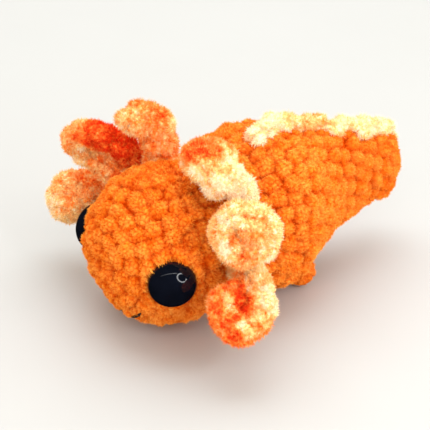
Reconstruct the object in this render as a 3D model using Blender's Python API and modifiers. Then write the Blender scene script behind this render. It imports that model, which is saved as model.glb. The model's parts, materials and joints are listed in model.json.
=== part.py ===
"""A small axolotl toy, crocheted in the round in thick chenille yarn and stuffed, lying on its belly.

Head, trunk and tail are one run of crochet, parted here at the neck and at the tail by thin cuts. Four leg
nubs, six gills that curl up, a crest of loose yarn along the back, two domed eyes and a stitched mouth are
set on it. Every solid reaches out to the tips of the yarn's pile.

Metres, +Z up. The nose points to -Y and the toy's left side to +X. The origin is on the floor, under the
fullest part of the trunk.
"""

import math

import bmesh
import bpy
import numpy as np
from mathutils import Vector

GAP = 0.0003  # between pieces that touch

# Crochet: rounds run round the long axis, from the nose to the end of the tail.
ROUND_PITCH = 0.0092
STITCHES = 22
TAIL_STITCHES = 11
NOSE_STITCHES = 6  # in the first round, and as many more in each of the next ones
RELIEF = 0.0017  # depth of the furrows between stitches
SQUASH = 0.0030  # up from the floor, where the weight presses the furrows shut
SEGMENTS = 44  # faces round the body, two to a stitch
ROWS_PER_ROUND = 3

# The body
HEAD_RADIUS = 0.0290
HEAD_FRONT = 0.0270  # from its middle to the nose
HEAD_Y = -0.038
HEAD_HEIGHT = 0.0281
TRUNK_RADIUS = 0.0316
TRUNK_FRONT = 0.0312
TRUNK_HEIGHT = 0.0306
NECK_BLEND = 0.0080
TAPER_START = 0.0030
TAPER_END = 0.0660
TAPER_POWER = 1.5  # more than 1 narrows sooner
TAIL_END_Y = 0.0684
TAIL_HALF_WIDTH = 0.0078
TAIL_HALF_HEIGHT = 0.0152
TAIL_HEIGHT = 0.0297
TAIL_ARCH = 0.0025  # of the middle line, halfway down the taper
TAIL_ROUNDING = 0.0070
TAIL_DROOP = 0.0038  # of the rounded end, so that its top slopes more than its underside
NECK_Y = -0.0195
TAIL_ROOT_Y = 0.0370

# The legs, as ball-ended nubs: how far out, along and up their roots and tips are
LEG_RADIUS = 0.0068
LEG_SIDES = 12
LEG_RINGS = 9
LEGS = {
    "leg_front": ((0.0120, -0.0120, 0.012), (0.0195, -0.0165, 0.0062)),
    "leg_hind": ((0.0090, 0.0050, 0.012), (0.0125, 0.0120, 0.0062)),
}

# The gills, on both sides, each a thick strand that curls up: its radius, and for each point on its way its
# place and its share of the radius
GILLS = {
    "gill_left_upper": (0.0066, (
        (0.0175, -0.0205, 0.0420, 0.70), (0.0220, -0.0215, 0.0495, 0.72), (0.0235, -0.0260, 0.0570, 0.85),
        (0.0250, -0.0325, 0.0605, 1.00), (0.0220, -0.0360, 0.0650, 1.00), (0.0155, -0.0340, 0.0640, 1.00),
        (0.0115, -0.0280, 0.0620, 1.00), (0.0165, -0.0275, 0.0630, 1.00), (0.0205, -0.0325, 0.0645, 0.90),
    )),
    "gill_left_middle": (0.0058, (
        (0.0210, -0.0235, 0.0340, 0.80), (0.0305, -0.0270, 0.0405, 0.85), (0.0450, -0.0320, 0.0455, 1.00),
        (0.0435, -0.0295, 0.0505, 1.00), (0.0395, -0.0325, 0.0535, 1.00), (0.0365, -0.0375, 0.0520, 1.00),
        (0.0380, -0.0400, 0.0470, 1.00), (0.0420, -0.0370, 0.0435, 1.00), (0.0440, -0.0340, 0.0465, 0.95),
        (0.0445, -0.0335, 0.0500, 0.90), (0.0435, -0.0360, 0.0515, 0.85),
    )),
    "gill_left_lower": (0.0062, (
        (0.0235, -0.0245, 0.0270, 0.90), (0.0330, -0.0280, 0.0295, 0.95), (0.0395, -0.0305, 0.0295, 0.95),
        (0.0460, -0.0330, 0.0280, 0.95), (0.0500, -0.0365, 0.0240, 0.95), (0.0505, -0.0420, 0.0215, 0.95),
        (0.0465, -0.0455, 0.0235, 0.95), (0.0425, -0.0445, 0.0265, 0.92), (0.0405, -0.0400, 0.0280, 0.86),
        (0.0380, -0.0360, 0.0285, 0.75),
    )),
    "gill_right_upper": (0.0068, (
        (-0.0160, -0.0250, 0.0410, 0.95), (-0.0165, -0.0270, 0.0485, 1.00),
        (-0.0175, -0.0275, 0.0560, 1.00), (-0.0190, -0.0290, 0.0625, 1.00),
        (-0.0205, -0.0330, 0.0650, 0.97), (-0.0195, -0.0375, 0.0650, 0.92),
        (-0.0190, -0.0400, 0.0635, 0.80),
    )),
    "gill_right_middle": (0.0060, (
        (-0.0240, -0.0285, 0.0370, 0.80), (-0.0340, -0.0355, 0.0400, 0.80),
        (-0.0435, -0.0380, 0.0435, 0.85), (-0.0500, -0.0405, 0.0465, 1.00),
        (-0.0490, -0.0410, 0.0505, 1.00), (-0.0410, -0.0405, 0.0535, 0.90),
        (-0.0345, -0.0385, 0.0545, 0.86), (-0.0305, -0.0350, 0.0525, 0.88),
        (-0.0295, -0.0320, 0.0475, 0.88), (-0.0295, -0.0310, 0.0425, 0.80),
    )),
    "gill_right_lower": (0.0064, (
        (-0.0315, -0.0295, 0.0255, 0.80), (-0.0420, -0.0345, 0.0275, 0.90),
        (-0.0505, -0.0380, 0.0285, 1.00), (-0.0555, -0.0415, 0.0280, 1.00),
        (-0.0555, -0.0455, 0.0255, 1.00), (-0.0500, -0.0470, 0.0240, 1.00),
        (-0.0450, -0.0460, 0.0280, 1.00), (-0.0445, -0.0465, 0.0310, 0.90),
    )),
}
GILL_STEPS = 40
GILL_VOXEL = 0.0012
GILL_FACES = 0.085  # share of the faces that is kept

# The crest: a thick strand that crosses the shoulder and then runs along the ridge to the end of the tail
CREST_RADIUS = 0.0040
CREST_START_Y = -0.0070
CREST_RIDGE_Y = 0.0130
CREST_END_Y = 0.0672
CREST_START_ANGLE = 12  # degrees off the ridge, to the toy's left
CREST_RISE = -0.0012  # of the strand's middle above the body
CREST_THIN_Y = 0.0560  # from here it thins towards its end
CREST_STEP = 0.0036

# The face
EYE_RADIUS = 0.0080
EYE_DEPTH = 0.0056
EYE_SIDES = 16
EYE_RINGS = 8
EYE_OUT = 0.0010  # from the eye's middle to the tips of the pile
EYE_AZIMUTH = 61
EYE_ELEVATION = 0
MOUTH_HALF_WIDTH = 0.0125
MOUTH_END_DROP = 0.0154  # below the middle of the head
MOUTH_MIDDLE_DROP = 0.0214
THREAD_RADIUS = 0.0008
MOUTH_POINTS = 9

ORANGE = (1.0, 0.27, 0.025)
CREAM = (1.0, 0.74, 0.42)
CORAL = (0.95, 0.30, 0.14)
BLACK = (0.008, 0.009, 0.014)


def clear_scene():
    for thing in list(bpy.data.objects):
        bpy.data.objects.remove(thing, do_unlink=True)


def collection(name):
    made = bpy.data.collections.new(name)
    bpy.context.scene.collection.children.link(made)
    return made


def material(name, colour, roughness):
    made = bpy.data.materials.new(name)
    made.use_nodes = True
    shader = made.node_tree.nodes["Principled BSDF"]
    shader.inputs["Base Color"].default_value = (*colour, 1.0)
    shader.inputs["Roughness"].default_value = roughness
    shader.inputs["Metallic"].default_value = 0.0
    return made


def add_object(name, mesh, group, look=None):
    made = bpy.data.objects.new(name, mesh)
    group.objects.link(made)
    if look:
        made.data.materials.append(look)
    return made


def hide_cutter(cutter):
    cutter.hide_render = True
    cutter.display_type = "WIRE"


def cut(piece, cutter):
    step = piece.modifiers.new("cut_" + cutter.name, "BOOLEAN")
    step.operation = "DIFFERENCE"
    step.solver = "EXACT"
    step.object = cutter


def ball_mesh(name, sides, rings, place):
    """A sphere of the given sides and rings, whose points place(ring, side) sets where they belong."""
    ball = bmesh.new()
    bmesh.ops.create_uvsphere(ball, u_segments=sides, v_segments=rings, radius=1.0)
    for point in ball.verts:
        ring = round(math.acos(max(-1.0, min(1.0, point.co.z))) / math.pi * rings)
        side = round(math.atan2(point.co.y, point.co.x) / math.tau * sides) % sides
        point.co = place(ring, side)
    bmesh.ops.triangulate(ball, faces=ball.faces, quad_method="FIXED")
    if ball.calc_volume(signed=True) < 0:
        bmesh.ops.reverse_faces(ball, faces=ball.faces)
    mesh = bpy.data.meshes.new(name)
    ball.to_mesh(mesh)
    ball.free()
    mesh.shade_smooth()
    mesh.set_sharp_from_angle(angle=math.radians(60))
    return mesh


# ---- the body's shape ----


def smooth_max(a, b, blend):
    near = max(blend - abs(a - b), 0.0) / blend
    return max(a, b) + near * near * blend / 4


def ease(value, low, high):
    share = min(max((value - low) / (high - low), 0.0), 1.0)
    return share * share * (3 - 2 * share)


def tapered_share(y):
    """How far along the taper y is, from 0 to 1."""
    return min(max((y - TAPER_START) / (TAPER_END - TAPER_START), 0.0), 1.0)


def body_section(y):
    """Half width, half height and middle height of the body at y, out to the tips of the pile."""
    reach = HEAD_FRONT if y < HEAD_Y else HEAD_RADIUS
    head = HEAD_RADIUS * math.sqrt(max(1 - ((y - HEAD_Y) / reach) ** 2, 0.0))
    if y < HEAD_Y:
        return head, head, HEAD_HEIGHT
    if y < 0:
        trunk = TRUNK_RADIUS * math.sqrt(max(1 - (y / TRUNK_FRONT) ** 2, 0.0))
        width, height = trunk, trunk
    else:
        taper = 1 - (1 - tapered_share(y)) ** TAPER_POWER
        width = TRUNK_RADIUS + (TAIL_HALF_WIDTH - TRUNK_RADIUS) * taper
        height = TRUNK_RADIUS + (TAIL_HALF_HEIGHT - TRUNK_RADIUS) * taper
    end = (y - (TAIL_END_Y - TAIL_ROUNDING)) / TAIL_ROUNDING
    closing = math.sqrt(max(1 - max(end, 0.0) ** 2, 0.0))
    width = smooth_max(head, width, NECK_BLEND) - (1 - closing) * TAIL_HALF_WIDTH
    height = smooth_max(head, height, NECK_BLEND) - (1 - closing) * TAIL_ROUNDING
    middle = HEAD_HEIGHT + (TRUNK_HEIGHT - HEAD_HEIGHT) * ease(y, HEAD_Y, 0.0)
    behind = tapered_share(y)
    middle += (TAIL_HEIGHT - TRUNK_HEIGHT) * behind + 4 * TAIL_ARCH * behind * (1 - behind)
    middle -= (1 - closing) * TAIL_DROOP
    return width, height, middle


def round_stations():
    """The y of every row of the crochet, spaced evenly along the body's outline."""
    nose = [HEAD_Y - HEAD_FRONT * math.cos(a) for a in np.linspace(0, math.pi / 2, 200)]
    back = list(np.linspace(HEAD_Y, TAIL_END_Y - TAIL_ROUNDING, 400))[1:]
    end = [TAIL_END_Y - TAIL_ROUNDING * (1 - math.sin(a)) for a in np.linspace(0, math.pi / 2, 60)]
    ys = np.array(nose + back + end[1:])
    radii = np.array([sum(body_section(y)[:2]) / 2 for y in ys])
    along = np.concatenate([[0], np.cumsum(np.hypot(np.diff(ys), np.diff(radii)))])
    rounds = round(along[-1] / ROUND_PITCH)
    rows = np.linspace(0, along[-1], rounds * ROWS_PER_ROUND + 1)
    return np.interp(rows, along, ys)


STATIONS = round_stations()


def row_near(y):
    """The row between two rounds that is nearest to y."""
    rounds = range(0, len(STATIONS), ROWS_PER_ROUND)
    return min(rounds, key=lambda k: abs(STATIONS[k] - y))


def stitches_in(number, y):
    if y > TAIL_ROOT_Y:
        return TAIL_STITCHES
    return min(STITCHES, NOSE_STITCHES * (number + 1))


def furrow(row, angle, y):
    """How deep the surface lies under the top of the nearest stitch."""
    number = row // ROWS_PER_ROUND
    across = math.sin(math.pi * (row / ROWS_PER_ROUND - number))
    turn = angle / math.tau * stitches_in(number, y) + 0.5 * (number % 2)
    along = abs(math.sin(math.pi * turn))
    return RELIEF * (1 - math.sqrt(across * along))


def body_point(row, angle, grow=0.0, y_shift=0.0):
    """A point of the crochet. The angle is 0 on the toy's left side and runs over the back."""
    y = STATIONS[row]
    width, height, middle = body_section(y)
    if row in (0, len(STATIONS) - 1):
        width, height = 0.0, 0.0
    free = ease(middle + height * math.sin(angle), 0.0, SQUASH)
    sunk = grow - furrow(row, angle, y) * free
    x = (width + sunk) * math.cos(angle) if width else 0.0
    z = middle + (height + sunk) * math.sin(angle) if height else middle
    to_nose = max(HEAD_Y - y, 0.0) / HEAD_FRONT
    to_end = max(y - TAIL_END_Y + TAIL_ROUNDING, 0.0) / TAIL_ROUNDING
    return Vector((x, y + y_shift + grow * (to_end - to_nose), max(z, -grow)))


def body_mesh(name, first, last, grow=0.0):
    """The crochet from one row to another. An end that is a cut is flat and keeps half of the gap."""
    cut_first = first > 0
    cut_last = last < len(STATIONS) - 1
    rings = (last - first) + cut_first + cut_last

    def place(ring, side):
        row = min(max(first + ring - cut_first, first), last)
        shift = 0.0
        if cut_first and row == first:
            shift = GAP / 2 - grow
        if cut_last and row == last:
            shift = grow - GAP / 2
        point = body_point(row, side / SEGMENTS * math.tau, grow, shift)
        if (cut_first and ring == 0) or (cut_last and ring == rings):
            return Vector((0.0, point.y, body_section(STATIONS[row])[2]))
        return point

    return ball_mesh(name, SEGMENTS, rings, place)


# ---- tubes, for gills, crest and mouth ----


def tube_mesh(name, points, radii, thickness, roundness=2):
    """A closed tube through the points, of the given share of the thickness at each."""
    curve = bpy.data.curves.new(name, "CURVE")
    curve.dimensions = "3D"
    curve.bevel_depth = thickness
    curve.bevel_resolution = roundness
    curve.use_fill_caps = True
    spline = curve.splines.new("POLY")
    spline.points.add(len(points) - 1)
    for place, point, radius in zip(spline.points, points, radii):
        place.co = (*point, 1.0)
        place.radius = radius
    guide = bpy.data.objects.new(name, curve)
    bpy.context.scene.collection.objects.link(guide)
    graph = bpy.context.evaluated_depsgraph_get()
    mesh = bpy.data.meshes.new_from_object(guide.evaluated_get(graph))
    bpy.data.objects.remove(guide)
    welded = bmesh.new()
    welded.from_mesh(mesh)
    bmesh.ops.remove_doubles(welded, verts=welded.verts, dist=0.00001)
    bmesh.ops.recalc_face_normals(welded, faces=welded.faces)
    welded.to_mesh(mesh)
    welded.free()
    mesh.shade_smooth()
    return mesh


def rounded_ends(count, rounding):
    """Shares of the full thickness at each point of a tube whose ends are round over some points."""
    shares = []
    for i in range(count):
        near = min(i, count - 1 - i) / rounding
        shares.append(math.sqrt(max(1 - max(1 - near, 0.0) ** 2, 0.06)))
    return shares


def smooth_path(points, count):
    """A smooth curve through the points, read at even steps of its parameter."""
    points = np.asarray(points, float)
    padded = np.concatenate([[2 * points[0] - points[1]], points, [2 * points[-1] - points[-2]]])
    at = np.linspace(0, len(points) - 1, count)
    home = np.minimum(at.astype(int), len(points) - 2)
    t = (at - home)[:, None]
    a, b, c, d = (padded[home + k] for k in range(4))
    return (2 * b + (c - a) * t + (2 * a - 5 * b + 4 * c - d) * t**2 + (3 * b - a - 3 * c + d) * t**3) / 2


def make_gill(name, radius, way, group, look, body_cutter):
    strand = smooth_path(way, GILL_STEPS)
    shares = strand[:, 3] * rounded_ends(GILL_STEPS, 4)
    mesh = tube_mesh(name, strand[:, :3], shares, radius)
    gill = add_object(name, mesh, group, look)
    join = gill.modifiers.new("close_up", "REMESH")
    join.mode = "VOXEL"
    join.voxel_size = GILL_VOXEL
    join.use_smooth_shade = True
    lighten = gill.modifiers.new("fewer_faces", "DECIMATE")
    lighten.ratio = GILL_FACES
    cut(gill, body_cutter)
    return gill


def ridge_point(y, lean):
    width, height, middle = body_section(y)
    angle = math.radians(90 - lean)
    out_x = (width + CREST_RISE) * math.cos(angle)
    return Vector((out_x, y, middle + (height + CREST_RISE) * math.sin(angle)))


def make_crest(group, look, body_cutter):
    count = round((CREST_END_Y - CREST_START_Y) / CREST_STEP) + 1
    points = []
    shares = rounded_ends(count, 2)
    for number, y in enumerate(np.linspace(CREST_START_Y, CREST_END_Y, count)):
        shares[number] *= 1 - 0.5 * ease(y, CREST_THIN_Y, CREST_END_Y)
        lean = CREST_START_ANGLE * (1 - ease(y, CREST_START_Y, CREST_RIDGE_Y))
        points.append(ridge_point(float(y), lean))
    mesh = tube_mesh("crest", points, shares, CREST_RADIUS, 1)
    crest = add_object("crest", mesh, group, look)
    cut(crest, body_cutter)
    return crest


def make_leg(name, root, tip, side, group, look, body_cutter):
    """A nub: a ball drawn out from its root to its tip, flat where it meets the floor."""
    root = Vector((root[0] * side, root[1], root[2]))
    tip = Vector((tip[0] * side, tip[1], tip[2]))
    axis = (tip - root).normalized()
    across = axis.cross(Vector((0, 0, 1))).normalized()
    up = across.cross(axis)

    def place(ring, at):
        at_tip = ring > LEG_RINGS / 2
        slope = math.pi * (ring - at_tip) / (LEG_RINGS - 1)
        turn = math.tau * at / LEG_SIDES
        middle = tip if at_tip else root
        offset = (across * math.cos(turn) + up * math.sin(turn)) * math.sin(slope) - axis * math.cos(slope)
        point = middle + offset * LEG_RADIUS
        return Vector((point.x, point.y, max(point.z, 0.0)))

    leg = add_object(name, ball_mesh(name, LEG_SIDES, LEG_RINGS, place), group, look)
    cut(leg, body_cutter)
    return leg


# ---- the face ----


def head_direction(azimuth, elevation):
    """From the middle of the head, with azimuth 0 at the nose and positive to the toy's left."""
    azimuth, elevation = math.radians(azimuth), math.radians(elevation)
    flat = math.cos(elevation)
    return Vector((math.sin(azimuth) * flat, -math.cos(azimuth) * flat, math.sin(elevation)))


def eye_mesh(name, side, grow):
    outward = head_direction(EYE_AZIMUTH * side, EYE_ELEVATION)
    reach = 1 / math.hypot(outward.x / HEAD_RADIUS, outward.y / HEAD_FRONT, outward.z / HEAD_RADIUS)
    middle = Vector((0, HEAD_Y, HEAD_HEIGHT)) + outward * (reach - EYE_OUT)
    across = outward.cross(Vector((0, 0, 1))).normalized()
    up = across.cross(outward)

    def place(ring, at):
        slope = math.pi * ring / EYE_RINGS
        turn = math.tau * at / EYE_SIDES
        flat = (EYE_RADIUS + grow) * math.sin(slope)
        deep = (EYE_DEPTH + grow) * math.cos(slope)
        return middle + (across * math.cos(turn) + up * math.sin(turn)) * flat + outward * deep

    return ball_mesh(name, EYE_SIDES, EYE_RINGS, place)


def mouth_mesh(name, grow):
    points = []
    for share in np.linspace(-1, 1, MOUTH_POINTS):
        x = MOUTH_HALF_WIDTH * float(share)
        z = -MOUTH_MIDDLE_DROP + (MOUTH_MIDDLE_DROP - MOUTH_END_DROP) * float(share) ** 2
        y = -math.sqrt((HEAD_RADIUS - THREAD_RADIUS) ** 2 - x * x - z * z) * HEAD_FRONT / HEAD_RADIUS
        points.append(Vector((x, HEAD_Y + y, HEAD_HEIGHT + z)))
    return tube_mesh(name, points, [1.0] * MOUTH_POINTS, THREAD_RADIUS + grow, 1)


def build():
    clear_scene()
    toy = collection("axolotl_toy")
    cutters = collection("cutters")
    orange = material("orange_chenille", ORANGE, 0.95)
    cream = material("cream_chenille", CREAM, 0.95)
    coral = material("coral_chenille", CORAL, 0.95)
    gloss = material("black_gloss", BLACK, 0.12)
    thread = material("black_thread", BLACK, 0.7)

    body_cutter = add_object("body_cutter", body_mesh("body_cutter", 0, len(STATIONS) - 1, GAP), cutters)
    hide_cutter(body_cutter)

    neck = row_near(NECK_Y)
    tail_root = row_near(TAIL_ROOT_Y)
    head = add_object("head", body_mesh("head", 0, neck), toy, orange)
    add_object("trunk", body_mesh("trunk", neck, tail_root), toy, orange)
    add_object("tail", body_mesh("tail", tail_root, len(STATIONS) - 1), toy, orange)

    for side, word in ((1, "left"), (-1, "right")):
        name = "eye_" + word
        add_object(name, eye_mesh(name, side, 0.0), toy, gloss)
        socket = add_object("socket_" + word, eye_mesh("socket_" + word, side, GAP), cutters)
        hide_cutter(socket)
        cut(head, socket)
        for leg, (root, tip) in LEGS.items():
            make_leg(f"{leg}_{word}", root, tip, side, toy, orange, body_cutter)

    add_object("mouth", mouth_mesh("mouth", 0.0), toy, thread)
    channel = add_object("mouth_channel", mouth_mesh("mouth_channel", GAP), cutters)
    hide_cutter(channel)
    cut(head, channel)

    for name, (radius, way) in GILLS.items():
        make_gill(name, radius, way, toy, coral, body_cutter)
    make_crest(toy, cream, body_cutter)


build()
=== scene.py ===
"""Dresses the solids of a crocheted axolotl toy: skins of chenille stitches, a pile of fine tufts on every
skin, glossy eyes, a stitched mouth, and a studio to see them in.

Metres, +Z up. The nose points to -Y and the toy's left side to +X. The toy lies on the floor at z = 0.
"""

import json
import math

import bmesh
import bpy
import numpy as np
from bpy.props import FloatProperty, FloatVectorProperty, IntProperty, PointerProperty
from mathutils import Matrix, Vector
from mathutils.kdtree import KDTree

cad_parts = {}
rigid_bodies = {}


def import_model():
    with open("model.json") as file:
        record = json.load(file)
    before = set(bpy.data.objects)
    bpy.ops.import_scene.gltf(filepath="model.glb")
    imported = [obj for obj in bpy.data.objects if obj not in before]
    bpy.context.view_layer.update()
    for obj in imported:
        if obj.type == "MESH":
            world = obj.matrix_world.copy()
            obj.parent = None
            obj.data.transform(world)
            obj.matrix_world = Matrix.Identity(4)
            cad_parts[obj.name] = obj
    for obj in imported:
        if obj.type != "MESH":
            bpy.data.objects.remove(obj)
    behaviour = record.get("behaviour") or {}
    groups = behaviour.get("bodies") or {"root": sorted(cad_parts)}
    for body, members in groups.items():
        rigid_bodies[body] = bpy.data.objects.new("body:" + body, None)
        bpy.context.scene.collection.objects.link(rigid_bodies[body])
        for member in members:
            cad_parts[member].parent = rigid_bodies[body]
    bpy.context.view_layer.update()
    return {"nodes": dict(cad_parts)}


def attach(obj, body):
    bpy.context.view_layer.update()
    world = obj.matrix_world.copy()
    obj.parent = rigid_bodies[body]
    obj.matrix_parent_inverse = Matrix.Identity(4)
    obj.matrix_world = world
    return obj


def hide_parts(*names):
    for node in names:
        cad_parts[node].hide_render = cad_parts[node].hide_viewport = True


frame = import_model()

bl_info = {
    "name": "Crocheted axolotl toy",
    "version": (1, 0, 0),
    "blender": (4, 5, 0),
    "location": "View3D > Sidebar > Axolotl",
    "description": "Dresses the solids of a crocheted axolotl toy in stitches, pile, eyes and a mouth",
    "category": "Object",
}

# ---- sizes that the solids have too ----

FLESH = ("head", "trunk", "tail", "leg_front_left", "leg_front_right", "leg_hind_left", "leg_hind_right")

# The body's run of crochet, out to the tips of the pile
HEAD_RADIUS = 0.0290
HEAD_FRONT = 0.0270
HEAD_Y = -0.038
HEAD_HEIGHT = 0.0281
TRUNK_RADIUS = 0.0316
TRUNK_FRONT = 0.0312
TRUNK_HEIGHT = 0.0306
NECK_BLEND = 0.0080
TAPER_START = 0.0030
TAPER_END = 0.0660
TAPER_POWER = 1.5
TAIL_END_Y = 0.0684
TAIL_HALF_WIDTH = 0.0078
TAIL_HALF_HEIGHT = 0.0152
TAIL_HEIGHT = 0.0297
TAIL_ARCH = 0.0025
TAIL_ROUNDING = 0.0070
TAIL_DROOP = 0.0038
HEAD_MIDDLE = Vector((0.0, HEAD_Y, HEAD_HEIGHT))

# The legs' axes, root and tip, for the left side
LEGS = {
    "leg_front": ((0.0120, -0.0120, 0.012), (0.0195, -0.0165, 0.0062)),
    "leg_hind": ((0.0090, 0.0050, 0.012), (0.0125, 0.0120, 0.0062)),
}
LEG_RADIUS = 0.0068

# Each gill is a thick strand: its radius, how much deeper its dye is on top than below, and for each point
# on its way its place, its share of the radius and its dye, from 0, cream, to 1, red. Then come its spots
# of
# dye, and of painted shade: how many points along the way, on which side of the strand, their reach and
# their dye.
# The left middle gill has one more point than its solid, which fills the middle of its curl.
GILLS = {
    "gill_left_upper": (0.0066, 0.30, (
        (0.0175, -0.0205, 0.0420, 0.70, 0.32), (0.0220, -0.0215, 0.0495, 0.72, 0.12),
        (0.0235, -0.0260, 0.0570, 0.85, 0.04), (0.0250, -0.0325, 0.0605, 1.00, 0.04),
        (0.0220, -0.0360, 0.0650, 1.00, 0.22), (0.0155, -0.0340, 0.0640, 1.00, 0.46),
        (0.0115, -0.0280, 0.0620, 1.00, 0.50), (0.0165, -0.0275, 0.0630, 1.00, 0.35),
        (0.0205, -0.0325, 0.0645, 0.90, 0.60),
    ), (
        (4.5, (0, 0, 1), 0.0074, 0.84), (5, (1, 0, 1), 0.0060, 0.78), (5.5, (0, -1, 0), 0.0030, 0.25),
        (3, (1, -1, 0), 0.0060, 0.06), (8, (1, 1, 0), 0.0055, 0.08), (7, (0, 1, 0), 0.0024, 0.60),
    )),
    "gill_left_middle": (0.0058, 0.0, (
        (0.0210, -0.0235, 0.0340, 0.80, 0.35), (0.0305, -0.0270, 0.0405, 0.85, 0.35),
        (0.0450, -0.0320, 0.0455, 1.00, 0.32), (0.0435, -0.0295, 0.0505, 1.00, 0.26),
        (0.0395, -0.0325, 0.0535, 1.00, 0.16), (0.0365, -0.0375, 0.0520, 1.00, 0.20),
        (0.0380, -0.0400, 0.0470, 1.00, 0.34), (0.0420, -0.0370, 0.0435, 1.00, 0.32),
        (0.0440, -0.0340, 0.0465, 0.95, 0.34), (0.0445, -0.0335, 0.0500, 0.90, 0.42),
        (0.0435, -0.0360, 0.0515, 0.85, 0.42), (0.0420, -0.0365, 0.0505, 0.80, 0.42),
    ), (
        # Its spots of about half dye round its inner curl paint the groove between the curl and its ring
        # orange, where shade falls: painted shade
        (5, (1, -1, 1), 0.0050, 0.12), (4, (0, 0, 1), 0.0055, 0.14), (4, (1, -1, -1), 0.0024, 0.54),
        (6, (1, -1, 0), 0.0026, 0.06), (7, (1, -1, 0), 0.0022, 0.50), (8, (1, -1, 0), 0.0026, 0.52),
        (9, (1, -1, 0), 0.0024, 0.54), (10, (1, -1, 0), 0.0028, 0.52), (11, (1, -1, 0), 0.0032, 0.40),
    )),
    "gill_left_lower": (0.0062, -0.10, (
        (0.0235, -0.0245, 0.0270, 0.90, 0.36), (0.0330, -0.0280, 0.0295, 0.95, 0.34),
        (0.0395, -0.0305, 0.0295, 0.95, 0.32), (0.0460, -0.0330, 0.0280, 0.95, 0.28),
        (0.0500, -0.0365, 0.0240, 0.95, 0.38), (0.0505, -0.0420, 0.0215, 0.95, 0.58),
        (0.0465, -0.0455, 0.0235, 0.95, 0.66), (0.0425, -0.0445, 0.0265, 0.92, 0.66),
        (0.0405, -0.0400, 0.0280, 0.86, 0.70), (0.0380, -0.0360, 0.0285, 0.75, 0.60),
    ), (
        (8, (1, 0, 0), 0.0042, 0.94), (3.5, (1, 1, 1), 0.0058, 0.08), (6.5, (1, -1, 1), 0.0040, 0.72),
        (7, (1, 0, 1), 0.0026, 0.24), (5, (1, -1, 1), 0.0026, 0.18), (5.5, (1, -1, 0), 0.0030, 0.76),
        (4.5, (1, 0, 1), 0.0022, 0.22), (4.5, (1, -1, 0), 0.0024, 0.40),
    )),
    "gill_right_upper": (0.0068, 0.1, (
        (-0.0160, -0.0250, 0.0410, 0.95, 0.40), (-0.0165, -0.0270, 0.0485, 1.00, 0.44),
        (-0.0175, -0.0275, 0.0560, 1.00, 0.56), (-0.0190, -0.0290, 0.0625, 1.00, 0.54),
        (-0.0205, -0.0330, 0.0650, 0.97, 0.58), (-0.0195, -0.0375, 0.0650, 0.92, 0.48),
        (-0.0190, -0.0400, 0.0635, 0.80, 0.24),
    ), (
        (2, (0, -1, 0), 0.0055, 0.55), (6, (1, -1, 0), 0.0050, 0.10), (3, (1, 1, 0), 0.0035, 0.30),
        (4, (0, 0, 1), 0.0040, 0.62), (4.5, (1, 0, 0), 0.0040, 0.50),
    )),
    "gill_right_middle": (0.0060, 0.15, (
        (-0.0240, -0.0285, 0.0370, 0.80, 0.48), (-0.0340, -0.0355, 0.0400, 0.80, 0.50),
        (-0.0435, -0.0380, 0.0435, 0.85, 0.50), (-0.0500, -0.0405, 0.0465, 1.00, 0.38),
        (-0.0490, -0.0410, 0.0505, 1.00, 0.42), (-0.0410, -0.0405, 0.0535, 0.90, 0.52),
        (-0.0345, -0.0385, 0.0545, 0.86, 0.80), (-0.0305, -0.0350, 0.0525, 0.88, 1.00),
        (-0.0295, -0.0320, 0.0475, 0.88, 0.90), (-0.0295, -0.0310, 0.0425, 0.80, 0.40),
    ), (
        (7, (1, -1, 1), 0.0055, 1.00), (6, (0, -1, 0), 0.0045, 0.90), (4, (0, 0, 1), 0.0045, 0.45),
        (5, (0, -1, -1), 0.0030, 0.12),
    )),
    "gill_right_lower": (0.0064, 0.30, (
        (-0.0315, -0.0295, 0.0255, 0.80, 0.50), (-0.0420, -0.0345, 0.0275, 0.90, 0.48),
        (-0.0505, -0.0380, 0.0285, 1.00, 0.48), (-0.0555, -0.0415, 0.0280, 1.00, 0.38),
        (-0.0555, -0.0455, 0.0255, 1.00, 0.16), (-0.0500, -0.0470, 0.0240, 1.00, 0.28),
        (-0.0450, -0.0460, 0.0280, 1.00, 0.38), (-0.0445, -0.0465, 0.0310, 0.90, 0.42),
    ), (
        (7, (0, 1, 1), 0.0048, 0.66), (4.5, (0, -1, 0), 0.0060, 0.06), (5.5, (0, -1, 0), 0.0030, 0.24),
    )),
}
GILL_STITCH = (0.0060, 3, 0.0017)  # length, how many go round the strand, and height

CREST_STITCH = (0.0058, 2, 0.0017)
CREST_RADIUS = 0.0040
CREST_START_Y = -0.0070
CREST_RIDGE_Y = 0.0130
CREST_END_Y = 0.0672
CREST_THIN_Y = 0.0560  # from here it thins towards its end
CREST_START_ANGLE = 12  # degrees off the ridge at its start, to the toy's left
CREST_RISE = -0.0012  # of its middle above the body
CREST_DYES = (0.00, 0.00, 0.02, 0.10, 0.28, 0.36, 0.28, 0.08, 0.02, 0.04, 0.14, 0.10, 0.00, 0.00)
CREST_LOOPS = ((0.0330, 0.0024), (0.0470, 0.0018))  # where a loop hangs to the left, and how far

MOUTH_HALF_WIDTH = 0.0125
MOUTH_END_DROP = 0.0154
MOUTH_MIDDLE_DROP = 0.0214
THREAD_RADIUS = 0.0008
PLY_RADIUS = 0.00034  # of each of the two plies of the thread
PLY_SWING = 0.00022  # of a ply round the thread's middle
PLY_SUNK = 0.0002
PLY_TURNS = 7

EYE_RADIUS = 0.0080
EYE_DEPTH = 0.0056
EYE_SEAT = 0.0022  # depth of the rounded back
EYE_INSET = 0.0010  # of the dome's foot inside the head's outline
EYE_AZIMUTH = 61  # degrees from the nose
EYE_ELEVATION = 0
EYE_SIDE_OF_HEAD = -0.012  # what lies further in along an eye's axis belongs to the rest of the head


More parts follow.
